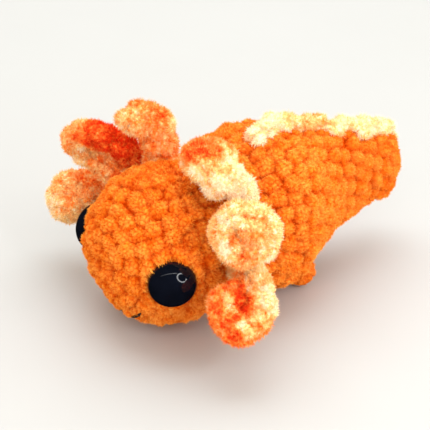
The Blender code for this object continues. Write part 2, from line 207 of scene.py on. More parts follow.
class YarnSizes(bpy.types.PropertyGroup):
    pile: FloatProperty(
        name="Pile depth", description="How far the pile stands out of the skin", default=0.0007,
        min=0.0005, max=0.004, unit="LENGTH", precision=4)
    stitch_height: FloatProperty(
        name="Stitch height", description="How far a stitch stands out of the furrows round it",
        default=0.0028, min=0.0, max=0.006, unit="LENGTH", precision=4)
    knot_spacing: FloatProperty(
        name="Knot spacing", description="Between the little knots that the pile gathers into",
        default=0.00175, min=0.0005, max=0.005, unit="LENGTH", precision=5)
    knot_height: FloatProperty(
        name="Knot height", description="How far a knot stands out of the creases round it",
        default=0.0008, min=0.0, max=0.003, unit="LENGTH", precision=5)
    tufts_per_mm2: FloatProperty(
        name="Tufts per mm2", description="How closely the pile stands", default=6.8, min=0.2, max=12.0)
    tuft_width: FloatProperty(
        name="Tuft width", description="Width of a tuft at its root", default=0.00025,
        min=0.0001, max=0.001, unit="LENGTH", precision=5)
    seed: IntProperty(name="Seed", description="Starts every random choice", default=7, min=0)


COLOUR = {"subtype": "COLOR", "size": 3, "min": 0.0, "max": 1.0}


class YarnColours(bpy.types.PropertyGroup):
    orange: FloatVectorProperty(
        name="Orange", description="Tips of the body's pile",
        default=(1.0, 0.44, 0.068), **COLOUR)
    # Painted shade: a deeper, redder orange painted at the roots of the body's pile and in its furrows,
    # where shade falls
    shaded_orange: FloatVectorProperty(
        name="Deep orange", description="Roots of the body's pile and furrows",
        default=(0.69, 0.078, 0.0004), **COLOUR)
    cream: FloatVectorProperty(
        name="Cream", description="Palest dye of the gills and crest",
        default=(1.0, 0.93, 0.72), **COLOUR)
    yellow: FloatVectorProperty(
        name="Yellow", description="Pale yellow dye",
        default=(1.0, 0.77, 0.34), **COLOUR)
    peach: FloatVectorProperty(
        name="Peach", description="Pink peach dye",
        default=(1.0, 0.60, 0.25), **COLOUR)
    light_orange: FloatVectorProperty(
        name="Light orange", description="Orange dye of the gills",
        default=(1.0, 0.385, 0.075), **COLOUR)
    coral: FloatVectorProperty(
        name="Coral", description="Coral dye",
        default=(0.93, 0.21, 0.035), **COLOUR)
    red: FloatVectorProperty(
        name="Red", description="Deepest dye",
        default=(0.80, 0.055, 0.008), **COLOUR)
    black: FloatVectorProperty(
        name="Black", description="Eyes and mouth",
        default=(0.0020, 0.0022, 0.0035), **COLOUR)


class StudioSettings(bpy.types.PropertyGroup):
    distance: FloatProperty(
        name="Distance", description="Camera to toy", default=0.45, min=0.2, max=2.0, unit="LENGTH")
    azimuth: FloatProperty(
        name="Azimuth", description="Round the toy from its nose, to its left", unit="ROTATION",
        default=math.radians(54))
    elevation: FloatProperty(
        name="Elevation", description="Above the floor", unit="ROTATION", default=math.radians(28))
    lens: FloatProperty(name="Lens", description="Focal length in millimetres", default=111.1, min=20)


# ---- small helpers ----


def sizes():
    return bpy.context.scene.axolotl_sizes


def colours():
    return bpy.context.scene.axolotl_colours


def ease(value, low, high):
    share = np.clip((value - low) / (high - low), 0.0, 1.0)
    return share * share * (3 - 2 * share)


def deselect():
    bpy.ops.object.select_all(action="DESELECT")


def make_active(piece):
    deselect()
    piece.select_set(True)
    bpy.context.view_layer.objects.active = piece


def apply_modifiers(piece):
    make_active(piece)
    for modifier in list(piece.modifiers):
        bpy.ops.object.modifier_apply(modifier=modifier.name)


def points_of(mesh):
    flat = np.empty(len(mesh.vertices) * 3, np.float32)
    mesh.vertices.foreach_get("co", flat)
    return flat.reshape(-1, 3).astype(np.float64)


def normals_of(mesh):
    flat = np.empty(len(mesh.vertices) * 3, np.float32)
    mesh.vertex_normals.foreach_get("vector", flat)
    return flat.reshape(-1, 3).astype(np.float64)


def set_points(mesh, points):
    mesh.vertices.foreach_set("co", points.astype(np.float32).ravel())
    mesh.update()


def set_attribute(mesh, name, values):
    layer = mesh.attributes.new(name, "FLOAT", "POINT")
    layer.data.foreach_set("value", np.asarray(values, np.float32))


def get_attribute(mesh, name):
    values = np.empty(len(mesh.vertices), np.float32)
    mesh.attributes[name].data.foreach_get("value", values)
    return values.astype(np.float64)


def soft_noise(points, size, seed):
    """Smooth noise from 0 to 1 at each point, with lumps of the given size."""
    table = np.random.default_rng(seed).random((32, 32, 32))
    cell = points / size
    low = np.floor(cell).astype(int)
    share = cell - low
    share = share * share * (3 - 2 * share)
    total = 0.0
    for corner in np.ndindex(2, 2, 2):
        weight = np.prod(np.where(corner, share, 1 - share), axis=1)
        index = (low + corner) % 32
        total = total + weight * table[index[:, 0], index[:, 1], index[:, 2]]
    return total


def unit(vectors):
    return vectors / np.maximum(np.linalg.norm(vectors, axis=-1, keepdims=True), 1e-12)


def finish_piece(piece, nodes=()):
    if nodes:
        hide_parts(*nodes)
    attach(piece, "root")


# ---- materials ----


def new_material(name):
    """A new material, its tree of nodes and its shader."""
    made = bpy.data.materials.new(name)
    made.use_nodes = True
    return made, made.node_tree, made.node_tree.nodes["Principled BSDF"]


def attribute_node(tree, name):
    node = tree.nodes.new("ShaderNodeAttribute")
    node.attribute_name = name
    return node.outputs["Fac"]


def mix_colour(tree, share, first, second, blend="MIX"):
    node = tree.nodes.new("ShaderNodeMix")
    node.data_type = "RGBA"
    node.blend_type = blend
    for socket, value in (("Factor_Float", share), ("A_Color", first), ("B_Color", second)):
        place = next(s for s in node.inputs if s.identifier == socket)
        if isinstance(value, bpy.types.NodeSocket):
            tree.links.new(value, place)
        else:
            place.default_value = (*value, 1.0) if isinstance(value, (tuple, list)) else value
    return next(s for s in node.outputs if s.identifier == "Result_Color")


def ramp(tree, share, stops):
    node = tree.nodes.new("ShaderNodeValToRGB")
    stops = list(stops)
    node.color_ramp.elements[0].position = stops[0][0]
    node.color_ramp.elements[0].color = (*stops[0][1], 1.0)
    node.color_ramp.elements[1].position = stops[-1][0]
    node.color_ramp.elements[1].color = (*stops[-1][1], 1.0)
    for position, colour in stops[1:-1]:
        node.color_ramp.elements.new(position).color = (*colour, 1.0)
    tree.links.new(share, node.inputs["Fac"])
    return node.outputs["Color"]


def math_node(tree, operation, first, second, third=None, clamp=False):
    node = tree.nodes.new("ShaderNodeMath")
    node.operation = operation
    node.use_clamp = clamp
    for place, value in zip(node.inputs, (first, second, third)):
        if isinstance(value, bpy.types.NodeSocket):
            tree.links.new(value, place)
        elif value is not None:
            place.default_value = value
    return node.outputs[0]


def noise_node(tree, size):
    """Noise in the object's own space, with lumps of the given size in metres."""
    place = tree.nodes.new("ShaderNodeTexCoord")
    node = tree.nodes.new("ShaderNodeTexNoise")
    node.inputs["Scale"].default_value = 1 / size
    node.inputs["Detail"].default_value = 2.0
    tree.links.new(place.outputs["Object"], node.inputs["Vector"])
    return node.outputs["Fac"]


def depth_share(tree):
    """From 0 in the furrows, at the roots of the pile, to 1 at the tips on top of the stitches, for painted
    shade.
    """
    crease = attribute_node(tree, "crease")
    along = attribute_node(tree, "along")
    lit = math_node(tree, "MULTIPLY_ADD", along, 0.50, 0.50)
    lit = math_node(tree, "MULTIPLY", crease, lit)
    grain = noise_node(tree, 0.0011)
    lit = math_node(tree, "SUBTRACT", lit, 0.18)
    return math_node(tree, "MULTIPLY_ADD", grain, 0.4, lit, clamp=True)


def soft_yarn(shader):
    shader.inputs["Roughness"].default_value = 0.92
    shader.inputs["Specular IOR Level"].default_value = 0.0
    shader.inputs["Sheen Weight"].default_value = 0.025
    shader.inputs["Sheen Roughness"].default_value = 0.55


def orange_chenille():
    made, tree, shader = new_material("orange_chenille")
    soft_yarn(shader)
    deep, light = tuple(colours().shaded_orange), tuple(colours().orange)
    depth = depth_share(tree)
    # Painted shade: the ramp runs from the deep orange of the furrows and the pile's roots through a darker
    # middle to the orange of the tips on top
    middle = tuple(a * b for a, b in zip(light, (0.86, 0.50, 0.22)))
    base = ramp(tree, depth, ((0.05, deep), (0.5, middle), (0.95, light)))
    # Painted highlight: a paler, peachier orange in soft random patches, only on the tops of the stitches
    # and tufts
    patch = noise_node(tree, 0.004)
    painted_highlight = tuple(min(1.0, c * k) for c, k in zip(light, (1.0, 1.20, 1.7)))
    share = math_node(tree, "MULTIPLY_ADD", patch, 1.6, -0.62, clamp=True)
    share = math_node(tree, "MULTIPLY", share, depth)
    tree.links.new(mix_colour(tree, share, base, painted_highlight), shader.inputs["Base Color"])
    shader.inputs["Sheen Tint"].default_value = (1.0, 0.62, 0.36, 1.0)
    return made


def variegated_chenille():
    made, tree, shader = new_material("variegated_chenille")
    soft_yarn(shader)
    shades = colours()
    fine = math_node(tree, "MULTIPLY_ADD", noise_node(tree, 0.0011), 0.9, -0.45)
    broad = math_node(tree, "MULTIPLY_ADD", noise_node(tree, 0.0035), 0.9, -0.45)
    shift = math_node(tree, "ADD", fine, broad)
    dye = math_node(tree, "ADD", attribute_node(tree, "dye"), shift, clamp=True)
    stops = (
        (0.0, tuple(shades.cream)), (0.22, tuple(shades.yellow)), (0.40, tuple(shades.peach)),
        (0.60, tuple(shades.light_orange)), (0.80, tuple(shades.coral)), (1.0, tuple(shades.red)),
    )
    yarn = ramp(tree, dye, stops)
    depth = depth_share(tree)
    # Painted shade: in the furrows and at the roots of the pile the dye is painted darker and warmer,
    # towards a multiplied copy of it
    painted_shade = math_node(tree, "SUBTRACT", 1.0, depth, clamp=True)
    painted_shade = math_node(tree, "MULTIPLY", painted_shade, 0.65)
    deep = mix_colour(tree, 1.0, yarn, (1.0, 0.62, 0.40), "MULTIPLY")
    tree.links.new(mix_colour(tree, painted_shade, yarn, deep), shader.inputs["Base Color"])
    shader.inputs["Sheen Tint"].default_value = (1.0, 0.85, 0.7, 1.0)
    return made


def eye_gloss():
    made, tree, shader = new_material("eye_gloss")
    # Painted reflection: a faint navy tint in soft random patches, for the dim navy of the floor mirrored
    # in the eye, on top of the gloss's own reflection
    painted_reflection = noise_node(tree, 0.006)
    tint = mix_colour(tree, painted_reflection, tuple(colours().black), (0.0045, 0.0062, 0.013))
    tree.links.new(tint, shader.inputs["Base Color"])
    shader.inputs["Roughness"].default_value = 0.05
    shader.inputs["Specular IOR Level"].default_value = 0.30
    return made


def black_thread():
    made, tree, shader = new_material("black_thread")
    fuzz = noise_node(tree, 0.0005)
    tint = mix_colour(tree, fuzz, tuple(colours().black), (0.006, 0.006, 0.007))
    tree.links.new(tint, shader.inputs["Base Color"])
    shader.inputs["Roughness"].default_value = 0.65
    return made


def get_material(name, maker):
    return bpy.data.materials.get(name) or maker()


# ---- stitches ----


ODD_STITCHES = 64  # in a round, before their oddities repeat


class StitchMap:
    """Rounds of stitches, each stitch the two round legs of a V, and how far each one is out of true."""

    def __init__(self, counts, pitch, height, seed):
        chance = np.random.default_rng(seed)
        self.counts = np.asarray(counts, int)
        self.pitch = pitch
        self.height = height
        self.jitter = chance.random((len(self.counts), ODD_STITCHES, 7)) - 0.5

    def lift(self, rounds, angle, radius):
        """Height above the furrows at a place given in rounds, radians and radius."""
        best = np.zeros_like(rounds)
        home = np.floor(rounds).astype(int)
        for step in (-1, 0, 1):
            row = np.clip(home + step, 0, len(self.counts) - 1)
            count = self.counts[row]
            width = math.tau * radius / count
            turn = angle / math.tau * count + 0.27 * row
            up = (rounds - row - 0.5) * self.pitch
            for near in (-1, 0, 1):
                stitch = np.floor(turn).astype(int) + near
                odd = self.jitter[row, stitch % count % ODD_STITCHES]
                for side in (-1, 1):
                    across = turn - stitch - 0.5 - side * 0.25
                    across = (across - 0.10 * odd[:, 0] - 0.08 * side * odd[:, 6]) * width
                    rise = up - (0.30 * odd[:, 1] + 0.26 * side * odd[:, 2]) * self.pitch
                    tilt = side * 0.25 + 0.9 * odd[:, 3]
                    a = (across * np.cos(tilt) + rise * np.sin(tilt)) / (0.29 * width)
                    b = (rise * np.cos(tilt) - across * np.sin(tilt)) / (0.57 * self.pitch)
                    inside = np.maximum(1 - np.abs(a) ** 2.4 - np.abs(b) ** 2.4, 0.0)
                    tall = 1 + 0.22 * odd[:, 4] + 0.20 * side * odd[:, 5]
                    best = np.maximum(best, inside ** 0.6 * tall)
        return best * self.height


def smooth_max(a, b, blend):
    near = np.maximum(blend - np.abs(a - b), 0.0) / blend
    return np.maximum(a, b) + near * near * blend / 4


def body_section(y):
    """Half width, half height and middle height of the body at each y, out to the tips of the pile."""
    reach = np.where(y < HEAD_Y, HEAD_FRONT, HEAD_RADIUS)
    head = HEAD_RADIUS * np.sqrt(np.maximum(1 - ((y - HEAD_Y) / reach) ** 2, 0.0))
    behind = np.clip((y - TAPER_START) / (TAPER_END - TAPER_START), 0.0, 1.0)
    tapered = 1 - (1 - behind) ** TAPER_POWER
    front = TRUNK_RADIUS * np.sqrt(np.maximum(1 - (np.minimum(y, 0.0) / TRUNK_FRONT) ** 2, 0.0))
    width = np.where(y < 0, front, TRUNK_RADIUS + (TAIL_HALF_WIDTH - TRUNK_RADIUS) * tapered)
    height = np.where(y < 0, front, TRUNK_RADIUS + (TAIL_HALF_HEIGHT - TRUNK_RADIUS) * tapered)
    end = np.clip((y - (TAIL_END_Y - TAIL_ROUNDING)) / TAIL_ROUNDING, 0.0, 1.0)
    closing = 1 - np.sqrt(1 - end**2)
    width = smooth_max(head, width, NECK_BLEND) - closing * TAIL_HALF_WIDTH
    height = smooth_max(head, height, NECK_BLEND) - closing * TAIL_ROUNDING
    middle = HEAD_HEIGHT + (TRUNK_HEIGHT - HEAD_HEIGHT) * ease(y, HEAD_Y, 0.0)
    middle = middle + (TAIL_HEIGHT - TRUNK_HEIGHT) * behind + 4 * TAIL_ARCH * behind * (1 - behind)
    middle = middle - closing * TAIL_DROOP
    before = y < HEAD_Y
    middle = np.where(before, HEAD_HEIGHT, middle)
    return np.where(before, head, width), np.where(before, head, height), middle


OUTLINE_Y = np.linspace(HEAD_Y, TAIL_END_Y, 800)
OUTLINE_RADIUS = sum(body_section(OUTLINE_Y)[:2]) / 2
OUTLINE_STEPS = np.hypot(np.diff(OUTLINE_Y), np.diff(OUTLINE_RADIUS))
OUTLINE_WALK = HEAD_RADIUS * math.pi / 2 + np.concatenate([[0], np.cumsum(OUTLINE_STEPS)])
LEG_OF_STITCH = 0.0062  # the two legs of a stitch are round knobs, about as wide as they are long
ROUNDS = round(OUTLINE_WALK[-1] / LEG_OF_STITCH)
PITCH = OUTLINE_WALK[-1] / ROUNDS


def body_places(points):
    """For each point its walk from the nose, its angle round the body and its distance from the middle."""
    width, height, middle = body_section(points[:, 1])
    squeeze = np.maximum(width, 0.003) / np.maximum(height, 0.003)
    up = points[:, 2] - middle
    radius = np.hypot(points[:, 0], up)
    front = HEAD_RADIUS * np.arctan2(radius / HEAD_RADIUS, (HEAD_Y - points[:, 1]) / HEAD_FRONT)
    behind = np.interp(points[:, 1], OUTLINE_Y, OUTLINE_WALK)
    walk = np.where(points[:, 1] < HEAD_Y, front, behind)
    return walk, np.arctan2(up * squeeze, points[:, 0]), radius


def body_stitches():
    """How many stitches each round of the body has."""
    middles = (np.arange(ROUNDS) + 0.5) * PITCH
    nose = HEAD_RADIUS * np.sin(np.minimum(middles / HEAD_RADIUS, math.pi / 2))
    around = np.where(middles < OUTLINE_WALK[0], nose, np.interp(middles, OUTLINE_WALK, OUTLINE_RADIUS))
    return np.maximum(np.round(around * math.tau / (2 * LEG_OF_STITCH)), 2)


def direction(azimuth, elevation):
    """A way out from the toy: round from its nose to its left, and up."""
    flat = math.cos(elevation)
    return Vector((math.sin(azimuth) * flat, -math.cos(azimuth) * flat, math.sin(elevation)))


def eye_place(side):
    """The middle of an eye's foot, and its axis."""
    outward = direction(math.radians(EYE_AZIMUTH * side), math.radians(EYE_ELEVATION))
    reach = 1 / math.hypot(outward.x / HEAD_RADIUS, outward.y / HEAD_FRONT, outward.z / HEAD_RADIUS)
    return HEAD_MIDDLE + outward * (reach - EYE_INSET), outward


def from_eye(points, side):
    """Each point's distance from an eye's axis and height on it, the axis, and the way out from it."""
    middle, outward = (np.array(v) for v in eye_place(side))
    offset = points - middle
    deep = offset @ outward
    radial = offset - deep[:, None] * outward
    flat = np.linalg.norm(radial, axis=1)
    far = flat + (deep < EYE_SIDE_OF_HEAD) * 1.0
    return far, deep, outward, radial / np.maximum(flat, 1e-9)[:, None]


def leg_axes():
    for root, tip in LEGS.values():
        for side in (1, -1):
            yield np.array((root[0] * side, *root[1:])), np.array((tip[0] * side, *tip[1:]))


def leg_places(points, root, tip):
    """For each point its walk along a leg, its angle round it and its distance from the leg's axis."""
    axis = (tip - root) / np.linalg.norm(tip - root)
    side = unit(np.cross(axis, (0, 0, 1)))
    up = np.cross(side, axis)
    offset = points - root
    walk = offset @ axis
    away = offset - np.clip(walk, 0, np.linalg.norm(tip - root))[:, None] * axis
    return walk, np.arctan2(offset @ up, offset @ side), np.linalg.norm(away, axis=1)


# ---- skins ----


def tree_of(places):
    tree = KDTree(len(places))
    for number, place in enumerate(places):
        tree.insert(place, number)
    tree.balance()
    return tree


def two_nearest(places, targets):
    """For each place the nearest of the targets, and its distance as a share of the second nearest's."""
    tree = tree_of(targets)
    found = [tree.find_n(place, 2) for place in places]
    share = np.array([first[2] / max(second[2], 1e-9) for first, second in found])
    return np.array([first[1] for first, second in found]), share


KNOT_PASSES = 2  # of moving each knot to the middle of what is nearest to it
KNOT_BEND = 0.0010  # how far the creases between knots wander
KNOT_BEND_SIZE = 0.0012


def knots_among(roots, spacing):
    """Middles of the little round knots that the pile gathers into, about evenly spaced."""
    cells = np.floor(roots / spacing).astype(np.int64)
    middles = roots[np.unique(cells, axis=0, return_index=True)[1]]
    for _ in range(KNOT_PASSES):
        knot = two_nearest(roots, middles)[0]
        counts = np.bincount(knot, minlength=len(middles))
        sums = np.stack([np.bincount(knot, roots[:, k], len(middles)) for k in range(3)], axis=1)
        middles = (sums / np.maximum(counts, 1)[:, None])[counts > 5]
    return middles


def knotted(points, chance):
    """For each point how high it stands in its knot, lowest in the creases, and its knot's own shade."""
    middles = knots_among(points, sizes().knot_spacing)
    bent = np.stack([soft_noise(points, KNOT_BEND_SIZE, seed) for seed in (51, 52, 53)], axis=1) - 0.5
    knot, rim = two_nearest(points + KNOT_BEND * bent, middles)
    size = 0.8 + 0.4 * chance.random(len(middles))
    shade = chance.normal(size=len(middles))
    return np.sqrt(1 - (0.95 * rim) ** 2) * size[knot], shade[knot]


def merged_copy(name, nodes, grow):
    """One mesh of copies of the solids, swollen a little so that their parting gaps close."""
    whole = bmesh.new()
    for node in nodes:
        one = bmesh.new()
        one.from_mesh(frame["nodes"][node].data)
        bmesh.ops.remove_doubles(one, verts=one.verts, dist=1e-6)
        one.normal_update()
        for point in one.verts:
            point.co += point.normal * grow
        swollen = bpy.data.meshes.new(node + "_copy")
        one.to_mesh(swollen)
        one.free()
        whole.from_mesh(swollen)
        bpy.data.meshes.remove(swollen)
    mesh = bpy.data.meshes.new(name)
    whole.to_mesh(mesh)
    whole.free()
    piece = bpy.data.objects.new(name, mesh)
    bpy.context.scene.collection.objects.link(piece)
    return piece


def remesh(piece, voxel, smoothing, subdivide):
    close = piece.modifiers.new("close", "REMESH")
    close.mode = "VOXEL"
    close.voxel_size = voxel
    soften = piece.modifiers.new("soften", "SMOOTH")
    soften.factor = 0.5
    soften.iterations = smoothing
    if subdivide:
        finer = piece.modifiers.new("finer", "SUBSURF")
        finer.levels = subdivide
        finer.render_levels = subdivide
    apply_modifiers(piece)


GROW = 0.0004  # swells the solids' copies, so that their parting gaps close
TILL_MEAN = 0.0006  # from the tips of the solids' stitches in to their mean surface
BODY_VOXEL = 0.00165
STRAND_VOXEL = 0.0007
NECK = (-0.030, -0.012)  # where the head's shallower, looser stitches end
BACK = (-0.012, 0.050)  # over this stretch the knots of the pile fade to half
TAIL = (0.015, 0.050)  # over this stretch the furrows are painted darker, and the whole tail a little darker: painted shade
PRESSED = (0.0, 0.003)  # over this height the floor presses the stitches flat
LEG_PITCH = 0.0058
LEG_STITCHES = 3  # in a round
EYE_COLLAR = 0.0016  # how far the crochet rises round the eyes
COLLAR_AWAY = 0.0012
COLLAR_WIDTH = 0.0017


def in_knots(crease, knob, shade, strength):
    """How far out of furrow and crease each point is, up to about 1, with every knot a little different,
    for painted shade in the furrows and creases.
    """
    return np.clip(crease * (1 + strength * (1.75 * knob - 1.50)) + 0.07 * strength * shade, 0, 1.1)


def cover(piece, material):
    piece.data.shade_smooth()
    piece.data.materials.clear()
    piece.data.materials.append(material)


def body_lift(points):
    """How high the stitches stand at each point of the body and the legs."""
    spec = sizes()
    walk, angle, radius = body_places(points)
    body = StitchMap(body_stitches(), PITCH, spec.stitch_height, spec.seed)
    loose = 0.0030 - 0.0022 * ease(points[:, 1], *NECK)
    astray = (soft_noise(points, 0.0075, spec.seed + 4) - 0.5) * loose
    aside = (soft_noise(points, 0.0075, spec.seed + 5) - 0.5) * loose / np.maximum(radius, 0.004)
    lift = body.lift((walk + astray) / PITCH, angle + aside, radius)
    for number, (root, tip) in enumerate(leg_axes()):
        along, turn, away = leg_places(points, root, tip)
        on_leg = (away < LEG_RADIUS + GROW) & (along > 0.002)
        leg = StitchMap([LEG_STITCHES] * 6, LEG_PITCH, spec.stitch_height * 0.7, spec.seed + 10 + number)
        knobs = leg.lift((along + 0.004) / LEG_PITCH, turn, np.full_like(along, 0.0065))
        lift = np.where(on_leg, knobs, lift)
    return lift


def body_skin():
    """The whole body's skin, one closed surface with every stitch in it."""
    spec = sizes()
    skin = merged_copy("body_skin", FLESH, GROW)
    remesh(skin, BODY_VOXEL, 8, 2)
    points = points_of(skin.data)
    normals = normals_of(skin.data)
    knob, shade = knotted(points, np.random.default_rng(spec.seed + 20))
    lift = body_lift(points)
    fine = soft_noise(points, 0.0016, spec.seed + 1) - 0.5
    lumps = soft_noise(points, 0.0034, spec.seed + 3) - 0.5
    coarse = soft_noise(points, 0.011, spec.seed + 2) - 0.5
    pressed = ease(points[:, 2], *PRESSED)
    behind = ease(points[:, 1], *NECK)
    relief = (0.35 + 0.65 * pressed) * (0.68 + 0.32 * behind)
    shift = (lift - spec.stitch_height) * relief - spec.pile - GROW + TILL_MEAN
    shift = shift + 0.0004 * fine + (0.0012 * lumps + 0.0008 * coarse) * pressed
    strength = 1 - 0.5 * ease(points[:, 1], *BACK)
    shift = shift + spec.knot_height * (knob - 0.8) * strength
    for side in (1, -1):
        flat = from_eye(points, side)[0]
        shift = shift + EYE_COLLAR * np.exp(-(((flat - EYE_RADIUS - COLLAR_AWAY) / COLLAR_WIDTH) ** 2))
    moved = points + normals * shift[:, None]
    moved[:, 2] = np.maximum(moved[:, 2], 0.00015)
    set_points(skin.data, moved)
    # Painted shade, put in the crease attribute: darker in the furrows between stitches, lighter on the
    # stitches and lumps, deeper in the furrows towards the tail, and the tail a little darker as a whole
    tail = ease(points[:, 1], *TAIL)
    furrow = 0.25 - 0.06 * behind - 0.14 * tail
    crease = furrow + (0.72 + 0.20 * behind + 0.06 * tail) * lift / spec.stitch_height
    crease = crease + (0.5 - 0.2 * behind) * lumps
    crease = np.clip(crease, 0, 1.1) * (1 - 0.10 * tail)
    set_attribute(skin.data, "crease", in_knots(crease, knob, shade, strength))
    set_attribute(skin.data, "along", np.zeros(len(points)))
    cover(skin, get_material("orange_chenille", orange_chenille))
    finish_piece(skin, FLESH)
    return skin


def curve_tube(name, points, radii, thickness):
    curve = bpy.data.curves.new(name, "CURVE")
    curve.dimensions = "3D"
    curve.bevel_depth = thickness
    curve.bevel_resolution = 4
    curve.use_fill_caps = True
    spline = curve.splines.new("POLY")
    spline.points.add(len(points) - 1)
    for place, point, radius in zip(spline.points, points, radii):
        place.co = (*point, 1.0)
        place.radius = radius
    piece = bpy.data.objects.new(name, curve)
    bpy.context.scene.collection.objects.link(piece)
    make_active(piece)
    bpy.ops.object.convert(target="MESH")
    return bpy.context.object


def smooth_path(points, count=90):
    """A smooth curve through the points, read at even steps of its parameter."""
    points = np.asarray(points, float)
    padded = np.concatenate([[2 * points[0] - points[1]], points, [2 * points[-1] - points[-2]]])
    at = np.linspace(0, len(points) - 1, count)
    home = np.minimum(at.astype(int), len(points) - 2)
    t = (at - home)[:, None]
    a, b, c, d = (padded[home + k] for k in range(4))
    return (2 * b + (c - a) * t + (2 * a - 5 * b + 4 * c - d) * t**2 + (3 * b - a - 3 * c + d) * t**3) / 2


def rounded_shares(count, ends):
    near = np.minimum(np.arange(count), count - 1 - np.arange(count)) / ends
    return np.sqrt(np.maximum(1 - np.maximum(1 - near, 0.0) ** 2, 0.05))


def spots_on(path, steps, radius, spots):
    """The spots' places on a strand whose way has so many steps."""
    placed = []
    for along, side, reach, dye in spots:
        middle = path[round(along / steps * (len(path) - 1))]
        placed.append((*(Vector(middle) + Vector(side).normalized() * radius), reach, dye))
    return placed


def path_places(points, path):
    """For each point its walk along a path and its angle round it."""
    tree = tree_of(path)
    nearest = np.array([tree.find(point)[1] for point in points])
    tangents = unit(np.gradient(path, axis=0))
    side = unit(np.cross(tangents[0], (0.3, 0.2, 0.9)))
    sides = []
    for tangent in tangents:
        side = unit(side - tangent * (side @ tangent))
        sides.append(side)
    sides = np.array(sides)
    ups = np.cross(tangents, sides)
    walk = np.concatenate([[0], np.cumsum(np.linalg.norm(np.diff(path, axis=0), axis=1))])
    offset = points - path[nearest]
    slide = np.einsum("ij,ij->i", offset, tangents[nearest])
    over = np.einsum("ij,ij->i", offset, ups[nearest])
    beside = np.einsum("ij,ij->i", offset, sides[nearest])
    return walk[nearest] + slide, np.arctan2(over, beside)


def strand_skin(name, path, shares, dyes, thickness, top_dye, spots, stitch, strength, seed):
    """A skin for a thick strand of crochet along a path, with its own stitches and dye."""
    spec = sizes()
    pitch, across, height = stitch
    skin = curve_tube(name, path, shares, thickness - spec.pile * 0.8)
    remesh(skin, STRAND_VOXEL, 5, 1)
    points = points_of(skin.data)
    normals = normals_of(skin.data)
    knob, shade = knotted(points, np.random.default_rng(seed + 2))
    walk, angle = path_places(points, path)
    length = walk.max() - walk.min()
    stitches = StitchMap([across] * (int(length / pitch) + 2), pitch, height, seed)
    lift = stitches.lift((walk - walk.min()) / pitch, angle, np.full_like(walk, thickness))
    fine = soft_noise(points, 0.0016, seed + 1) - 0.5
    coarse = soft_noise(points, 0.005, seed + 3) - 0.5
    shift = lift - height * 0.8 + 0.0003 * fine + 0.0012 * coarse
    shift = shift + spec.knot_height * (knob - 0.8) * strength
    set_points(skin.data, points + normals * shift[:, None])
    share = np.clip((walk - walk.min()) / length, 0, 1)
    # Painted shade, put in the crease attribute: darker in the furrows between the strand's stitches and
    # the creases between its knots
    set_attribute(skin.data, "crease", in_knots(0.30 + 0.70 * lift / height, knob, shade, strength))
    set_attribute(skin.data, "along", np.zeros(len(points)))
    height_up = points[:, 2] - np.interp(walk - walk.min(), np.linspace(0, length, len(path)), path[:, 2])
    dye = np.interp(share, np.linspace(0, 1, len(dyes)), dyes)
    dye = dye + top_dye * height_up / thickness / 2
    for x, y, z, reach, spot in spots:
        near = 1 - ease(np.linalg.norm(points - (x, y, z), axis=1), 0.7 * reach, 1.15 * reach)
        dye = dye + (spot - dye) * near
    set_attribute(skin.data, "dye", np.clip(dye + 0.10 * shade, 0, 1))
    set_attribute(skin.data, "unwrap_u", angle / math.tau + 0.5)
    set_attribute(skin.data, "unwrap_v", share)
    cover(skin, get_material("variegated_chenille", variegated_chenille))
    finish_piece(skin, (name.replace("_skin", ""),))
    return skin


# ---- pile ----


def scatter(mesh, density, chance):
    """Random places on a mesh, each as three vertices and its share of each."""
    mesh.calc_loop_triangles()
    corners = np.empty(len(mesh.loop_triangles) * 3, np.int32)
    mesh.loop_triangles.foreach_get("vertices", corners)
    corners = corners.reshape(-1, 3)
    points = points_of(mesh)
    a, b, c = (points[corners[:, k]] for k in range(3))
    areas = np.linalg.norm(np.cross(b - a, c - a), axis=1) / 2
    count = int(areas.sum() * 1e6 * density)
    chosen = np.searchsorted(np.cumsum(areas), chance.random(count) * areas.sum())
    chosen = np.minimum(chosen, len(areas) - 1)
    one, two = chance.random(count), chance.random(count)
    flip = one + two > 1
    one, two = np.where(flip, 1 - one, one), np.where(flip, 1 - two, two)
    shares = np.stack([1 - one - two, one, two], axis=1)
    return corners[chosen], shares


def mixed(values, corners, shares):
    """The vertices' values at those places."""
    return np.einsum("ij,ij...->i...", shares, values[corners])


def grow_pile(skin, deep, chance):
    """Places, roots, tips and creases of tufts all over a skin, which stand out of its knots all round."""
    spec = sizes()
    mesh = skin.data
    corners, shares = scatter(mesh, spec.tufts_per_mm2, chance)
    roots = mixed(points_of(mesh), corners, shares)
    normals = unit(mixed(normals_of(mesh), corners, shares))
    crease = mixed(get_attribute(mesh, "crease"), corners, shares)
    count = len(roots)
    size = (0.70 + 0.6 * chance.random(count)) * (0.6 + 0.4 * np.clip(crease, 0, 1)) * spec.pile * deep
    face = 1 - ease(roots[:, 1], HEAD_Y - 0.022, HEAD_Y - 0.012)
    feet = 1 - ease(roots[:, 2], 0.002, 0.006)
    size = size * (1 - 0.3 * np.maximum(face, feet))
    tips = roots + (normals + 0.22 * chance.normal(size=(count, 3))) * size[:, None]
    crease = crease + 0.17 * chance.normal(size=count)
    return corners, shares, roots - normals * 0.0001, tips, crease


